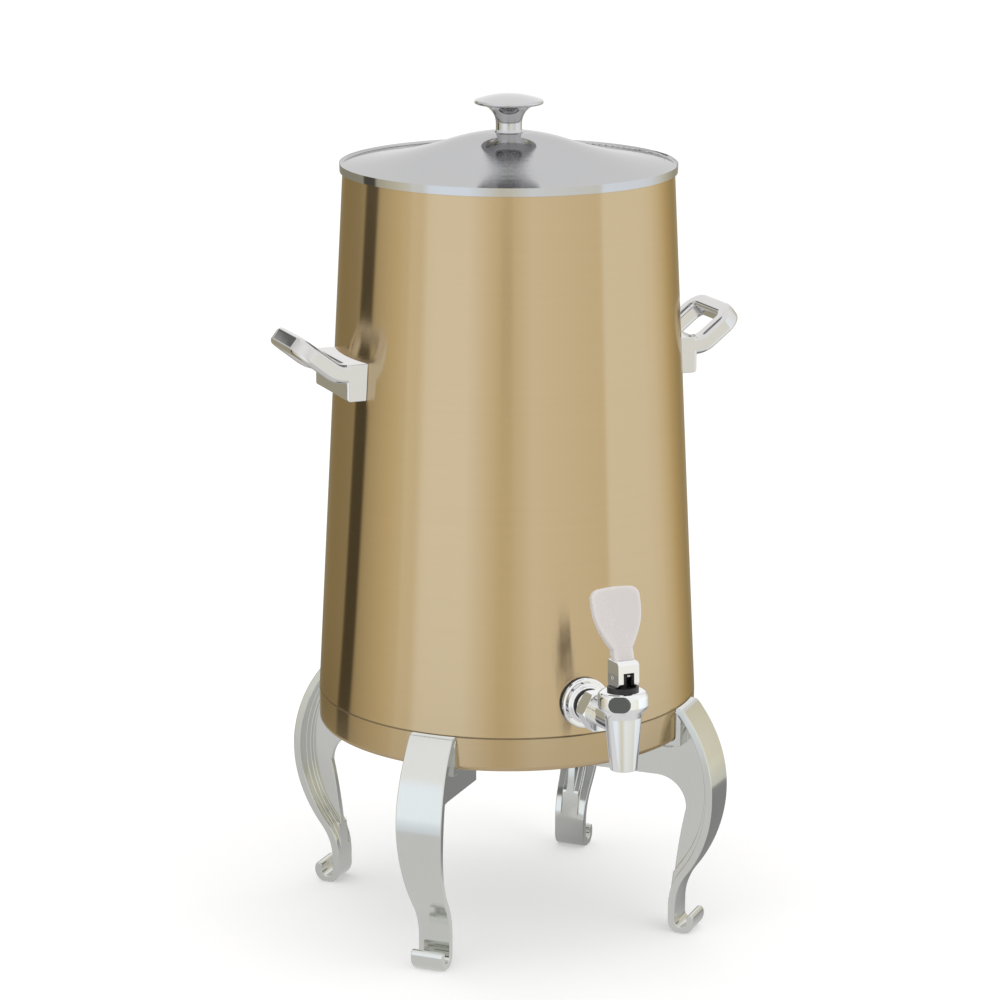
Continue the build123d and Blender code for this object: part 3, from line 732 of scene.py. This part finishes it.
class URN_OT_screws(bpy.types.Operator):
    """Dress the leg screws, with a hexagon socket sunk in each head."""

    bl_idname = "urn.screws"
    bl_label = "Leg screws"

    def execute(self, context):
        sizes = context.scene.urn_sizes
        plain = bpy.data.materials["plain_steel"]
        piece = dressed("leg_screws", "urn", plain, sizes.screw_edge)
        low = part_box("leg_screws")[0].z
        bpy.ops.object.select_all(action="DESELECT")
        prisms = []
        for leg_turn in LEG_TURNS:
            for side in (-1, 1):
                angle = radians(leg_turn) + side * sizes.screw_turn
                bpy.ops.mesh.primitive_cylinder_add(
                    vertices=6,
                    radius=sizes.socket_width / 3**0.5,
                    depth=2 * sizes.socket_depth,
                    location=(sizes.screw_ring * cos(angle), sizes.screw_ring * sin(angle), low),
                    rotation=(0, 0, angle),
                )
                prisms.append(context.object)
        for prism in prisms:
            prism.select_set(True)
        bpy.ops.object.join()
        cutter = context.object
        pick(piece)
        apply_modifier("BOOLEAN", operation="DIFFERENCE", object=cutter, solver="EXACT")
        bpy.data.objects.remove(cutter)
        even_shading()
        return {"FINISHED"}


class URN_OT_handles(bpy.types.Operator):
    """Dress the two plated handles."""

    bl_idname = "urn.handles"
    bl_label = "Handles"

    def execute(self, context):
        handles = rgba(context.scene.urn_look.handles)
        polish = cast_polish("handle_polish", handles, base_rough=0.03, grain=0.02)
        for name in ("handle_right", "handle_left"):
            dressed(name, "urn", polish, context.scene.urn_sizes.handle_edge)
        return {"FINISHED"}


class URN_OT_faucet(bpy.types.Operator):
    """Dress the faucet, its washers and its lever."""

    bl_idname = "urn.faucet"
    bl_label = "Faucet"

    def execute(self, context):
        look = context.scene.urn_look
        sizes = context.scene.urn_sizes
        edge = sizes.faucet_edge
        chrome = cast_polish("chrome_plate", rgba(look.chrome), base_rough=0.03, grain=0.02)
        for name in ("wall_flange", "coupling_nut", "faucet_body"):
            dressed(name, "urn", chrome, edge)
        dressed("lever_fork", "lever", chrome, edge)
        dressed("lever_pin", "lever", chrome, sizes.pin_edge)
        coat_nodes(chrome, "faucet_shank")
        black = rgba(look.black)
        coat_nodes(rubber("black_rubber", black), "flange_gasket", "flange_washer", "liner_gasket")
        coat_nodes(rubber("milky_rubber", rgba(look.cup)), "seat_cup")
        coat_nodes(moulded("black_plastic", black, base_rough=0.22), "bonnet_cap", "faucet_stem")
        coat_nodes(moulded("grey_plastic", rgba(look.plug), base_rough=0.4), "faucet_plug")
        white = moulded("white_plastic", rgba(look.blade), base_rough=0.2, milky=0.7)
        dressed("lever_blade", "lever", white, edge)
        return {"FINISHED"}


class URN_OT_spring(bpy.types.Operator):
    """Dress the stem's spring under the bonnet, and work out how much of its length stays as the stem
    lifts.
    """

    bl_idname = "urn.spring"
    bl_label = "Stem spring"

    def execute(self, context):
        plain = bpy.data.materials["plain_steel"]
        spring = dressed("stem_spring", "urn", plain, edge=0)
        lift = next(joint for joint in frame["joints"] if joint["name"] == "stem_lift")
        along = Vector(lift["axis"])
        heights = [along.dot(vertex.co) for vertex in spring.data.vertices]
        top = max(heights)
        keep = 1 - lift["range_m"][1] / (top - min(heights))
        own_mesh(spring)
        return {"FINISHED"}


# Stage. Angles round the tent are in degrees from the camera's side, and heights are in metres.
TENT_FRONT = 247.0
TENT_SIDES = 96
SKIRT_LIFT = 0.001

# Panels of the tent's wall: angle and brightness
PANELS = (
    (-165, 0.38),
    (-119, 0.40),
    (-99, 0.56),
    (-87, 0.70),
    (-78, 0.80),
    (-69, 0.88),
    (-58, 0.94),
    (-53, 1.07),
    (-46, 1.09),
    (-26, 1.09),
    (-13, 0.95),
    (-5, 0.85),
    (1, 0.86),
    (15, 1.00),
    (37, 0.96),
    (62, 0.92),
    (64, 1.06),
    (97, 1.05),
    (108, 1.02),
    (121, 0.90),
    (131, 0.74),
    (146, 0.52),
)
PANEL_EVEN = 0.96
PANEL_WARMEST = -0.15
PLAIN_CONTRAST = 0.4
PLAIN_FADE = 0.2

# The wall behind the urn: the direction away from the camera, and where along it white starts and is full
AWAY_EAST = 0.39
AWAY_NORTH = 0.92
WHITE_START = 1.36
WHITE_FULL = 1.46

# Dark things that hang in the tent: where each starts, is full, fades and ends, and its brightness
STRIP_ANGLES = (-117, -115.5, -103, -101.5)
FLAG_ANGLES = (-152, -149, -129, -126)
FLAG_HEIGHTS = (0.86, 0.92, 1.18, 1.24)
FLAG_LEVEL = 0.15
CARD_ANGLES = (-5, -4, 2, 3)
CARD_HEIGHTS = (0.390, 0.396, 0.430, 0.436)
CARD_LEVEL = 0.01

# Mat that the urn stands on, darker on the right: angle and brightness
MAT = (
    (-150, 0.55),
    (-80, 0.66),
    (-50, 0.72),
    (60, 0.72),
    (100, 0.26),
    (140, 0.30),
    (170, 0.5),
)

# Shade of the floor's paper, and what is added so that it looks white
PAPER_SHADE = 0.8
PAPER_LIFT = 0.24

# Lamps: name, place, width and power, and the point that they aim at
LAMPS = (
    ("key_lamp", (1.6, -2.2, 2.6), 1.8, 9),
    ("fill_lamp", (-2.6, -1.2, 2.0), 2.0, 4),
    ("top_lamp", (0.0, 0.3, 3.2), 2.4, 6),
)
LAMP_AIM = Vector((0, 0, 0.3))


def round_the_tent(stops):
    """Ramp stops from angles that are counted from the camera's side, on a ramp that starts at -X."""
    return sorted((((TENT_FRONT + angle + 180) % 360) / 360, colour) for angle, colour in stops)


def panel_colour(level):
    """Colour of a tent panel: bright ones are a little cool and dim ones warm."""
    lean = max(level - PANEL_EVEN, PANEL_WARMEST)
    return (level, level * (1 + 0.5 * lean), level * (0.935 + 1.56 * lean))


def tent_panels():
    """Coloured panels of the tent's wall round the urn."""
    return round_the_tent([(angle, panel_colour(level)) for angle, level in PANELS])


def plain_panels():
    """The same panels without colour and with less contrast, for the wall's upper part."""
    return round_the_tent([(angle, 1 + PLAIN_CONTRAST * (level - 1)) for angle, level in PANELS])


def hung_dark(angles):
    """Ramp stops that mark a dark thing hung in the tent, with soft edges."""
    return round_the_tent(zip(angles, (0, 1, 1, 0)))


def tent_mesh(stage):
    """Open round wall with a skirt on the floor, that only mirrors see."""
    spread = stage.tent_radius / stage.tent_skirt
    bpy.ops.object.select_all(action="DESELECT")
    bpy.ops.mesh.primitive_circle_add(
        vertices=TENT_SIDES,
        radius=stage.tent_skirt,
        location=(0, 0, SKIRT_LIFT),
    )
    wall = bpy.context.object
    wall.name = "tent_wall"
    bpy.ops.object.transform_apply(location=True)
    bpy.ops.object.mode_set(mode="EDIT")
    bpy.ops.mesh.select_all(action="SELECT")
    bpy.ops.mesh.extrude_region_move()
    bpy.ops.transform.resize(value=(spread, spread, 1))
    bpy.ops.mesh.extrude_region_move(TRANSFORM_OT_translate={"value": (0, 0, stage.tent_height)})
    bpy.ops.object.mode_set(mode="OBJECT")
    wall.visible_camera = False
    wall.visible_diffuse = False
    wall.visible_shadow = False
    wall.visible_transmission = False
    return wall


def tent_cloth(stage):
    """Glowing cloth: panels, white behind the urn, dark things that hang there, and a mat on the skirt."""
    finish = new_finish("tent_cloth")
    east = finish.along(0)
    north = finish.along(1)
    level = finish.along(2)
    reach = finish.off_axis()
    turn = finish.node("ShaderNodeMath", {"operation": "ARCTAN2"}, {0: north, 1: east}) / (2 * pi) + 0.5
    strip = finish.ramp(turn - level * stage.strip_slant, hung_dark(STRIP_ANGLES))
    panels = finish.ramp(turn, tent_panels())
    panels = finish.blend(strip, panels, rgba(panel_colour(stage.strip_level)))
    plain = finish.fade(level, stage.panel_high, stage.panel_high + PLAIN_FADE)
    panels = finish.blend(plain, panels, finish.ramp(turn, plain_panels()))
    above = finish.fade(level, stage.panel_low, stage.panel_high)
    behind = finish.fade(north * AWAY_NORTH + east * AWAY_EAST, WHITE_START, WHITE_FULL)
    cloth = finish.blend(above * behind, panels, grey(1))
    flag = finish.ramp(turn, hung_dark(FLAG_ANGLES)) * finish.within(level, FLAG_HEIGHTS)
    cloth = finish.blend(flag, cloth, grey(FLAG_LEVEL))
    card = finish.ramp(turn, hung_dark(CARD_ANGLES)) * finish.within(level, CARD_HEIGHTS)
    cloth = finish.blend(card, cloth, grey(CARD_LEVEL))
    on_mat = finish.node("ShaderNodeMath", {"operation": "LESS_THAN"}, {0: reach, 1: stage.mat_radius})
    cloth = finish.blend(on_mat, cloth, finish.ramp(turn, round_the_tent(MAT)))
    dusk = finish.fade(reach, stage.mat_radius, 2 * stage.mat_radius)
    strength = stage.mat_dusk + (1 - stage.mat_dusk) * finish.larger(on_mat, dusk)
    return finish.surface(finish.node("ShaderNodeEmission", None, {"Color": cloth, "Strength": strength}))


def floor_paper():
    """Pale paper that keeps the urn's shadow, lifted to white for the camera and for mirrors."""
    finish = new_finish("floor_sweep")
    seen = finish.node("ShaderNodeLightPath", output="Is Camera Ray")
    for way in ("Is Glossy Ray", "Is Transmission Ray"):
        seen = finish.larger(seen, finish.node("ShaderNodeLightPath", output=way))
    paper = finish.node("ShaderNodeBsdfDiffuse", None, {"Color": grey(PAPER_SHADE)})
    lift = finish.node("ShaderNodeEmission", None, {"Color": grey(1), "Strength": seen * PAPER_LIFT})
    return finish.surface(finish.node("ShaderNodeAddShader", None, {0: paper, 1: lift}))


def hang_lamp(name, at, width, power):
    """Square lamp that mirrors and the camera don't see."""
    lamp = bpy.data.lights.new(name, "AREA")
    lamp.size = width
    lamp.energy = power
    hung = bpy.data.objects.new(name, lamp)
    bpy.context.scene.collection.objects.link(hung)
    hung.location = at
    hung.rotation_euler = (LAMP_AIM - Vector(at)).to_track_quat("-Z", "Y").to_euler()
    hung.visible_glossy = False
    hung.visible_camera = False


class URN_OT_stage(bpy.types.Operator):
    """Set up the floor, light tent, lamps, white surroundings and camera."""

    bl_idname = "urn.stage"
    bl_label = "Studio stage"

    def execute(self, context):
        stage = context.scene.urn_stage
        bpy.ops.object.select_all(action="DESELECT")
        bpy.ops.mesh.primitive_plane_add(size=stage.floor_size, location=(0, 0, 0))
        floor = context.object
        floor.name = "floor"
        floor.data.materials.append(floor_paper())
        wall = tent_mesh(stage)
        wall.data.materials.append(tent_cloth(stage))
        for name in WALLS:
            nodes[name].visible_glossy = False
        # The blade's image in the shell would be too dark, so mirrors don't show the blade
        bpy.data.objects["lever_blade_dressed"].visible_glossy = False

        world = bpy.data.worlds.new("studio")
        context.scene.world = world
        finish = Finish(world)
        finish.surface(finish.node("ShaderNodeBackground", None, {"Color": grey(1), "Strength": 1.0}))

        for name, at, width, power in LAMPS:
            hang_lamp(name, at, width, power)

        camera = bpy.data.objects.new("camera", bpy.data.cameras.new("camera"))
        context.scene.collection.objects.link(camera)
        camera.location = stage.camera_at
        camera.rotation_euler = (pi / 2 - stage.pitch, 0, stage.heading)
        camera.rotation_euler.rotate_axis("Z", stage.roll)
        camera.data.lens = stage.lens
        camera.data.sensor_width = 36
        camera.data.clip_end = 100
        context.scene.camera = camera
        context.scene.view_settings.view_transform = "Standard"
        return {"FINISHED"}


class URN_PT_sidebar(bpy.types.Panel):
    """Lists the urn's steps and settings."""

    bl_idname = "URN_PT_sidebar"
    bl_label = "Beverage urn"
    bl_space_type = "VIEW_3D"
    bl_region_type = "UI"
    bl_category = "Urn"

    def draw(self, context):
        for step in STEPS:
            self.layout.operator(step.bl_idname)
        for group in (context.scene.urn_sizes, context.scene.urn_look, context.scene.urn_stage):
            for name in group.__annotations__:
                self.layout.prop(group, name)


STEPS = (
    URN_OT_body,
    URN_OT_lid,
    URN_OT_legs,
    URN_OT_screws,
    URN_OT_handles,
    URN_OT_faucet,
    URN_OT_spring,
    URN_OT_stage,
)
CLASSES = (UrnSizes, UrnLook, UrnStage, *STEPS, URN_PT_sidebar)


def register():
    for entry in CLASSES:
        bpy.utils.register_class(entry)
    bpy.types.Scene.urn_sizes = bpy.props.PointerProperty(type=UrnSizes)
    bpy.types.Scene.urn_look = bpy.props.PointerProperty(type=UrnLook)
    bpy.types.Scene.urn_stage = bpy.props.PointerProperty(type=UrnStage)


def unregister():
    del bpy.types.Scene.urn_stage
    del bpy.types.Scene.urn_look
    del bpy.types.Scene.urn_sizes
    for entry in reversed(CLASSES):
        bpy.utils.unregister_class(entry)


def main():
    register()
    bpy.ops.urn.body()
    bpy.ops.urn.lid()
    bpy.ops.urn.legs()
    bpy.ops.urn.screws()
    bpy.ops.urn.handles()
    bpy.ops.urn.faucet()
    bpy.ops.urn.spring()
    bpy.ops.urn.stage()


if __name__ == "__main__":
    main()
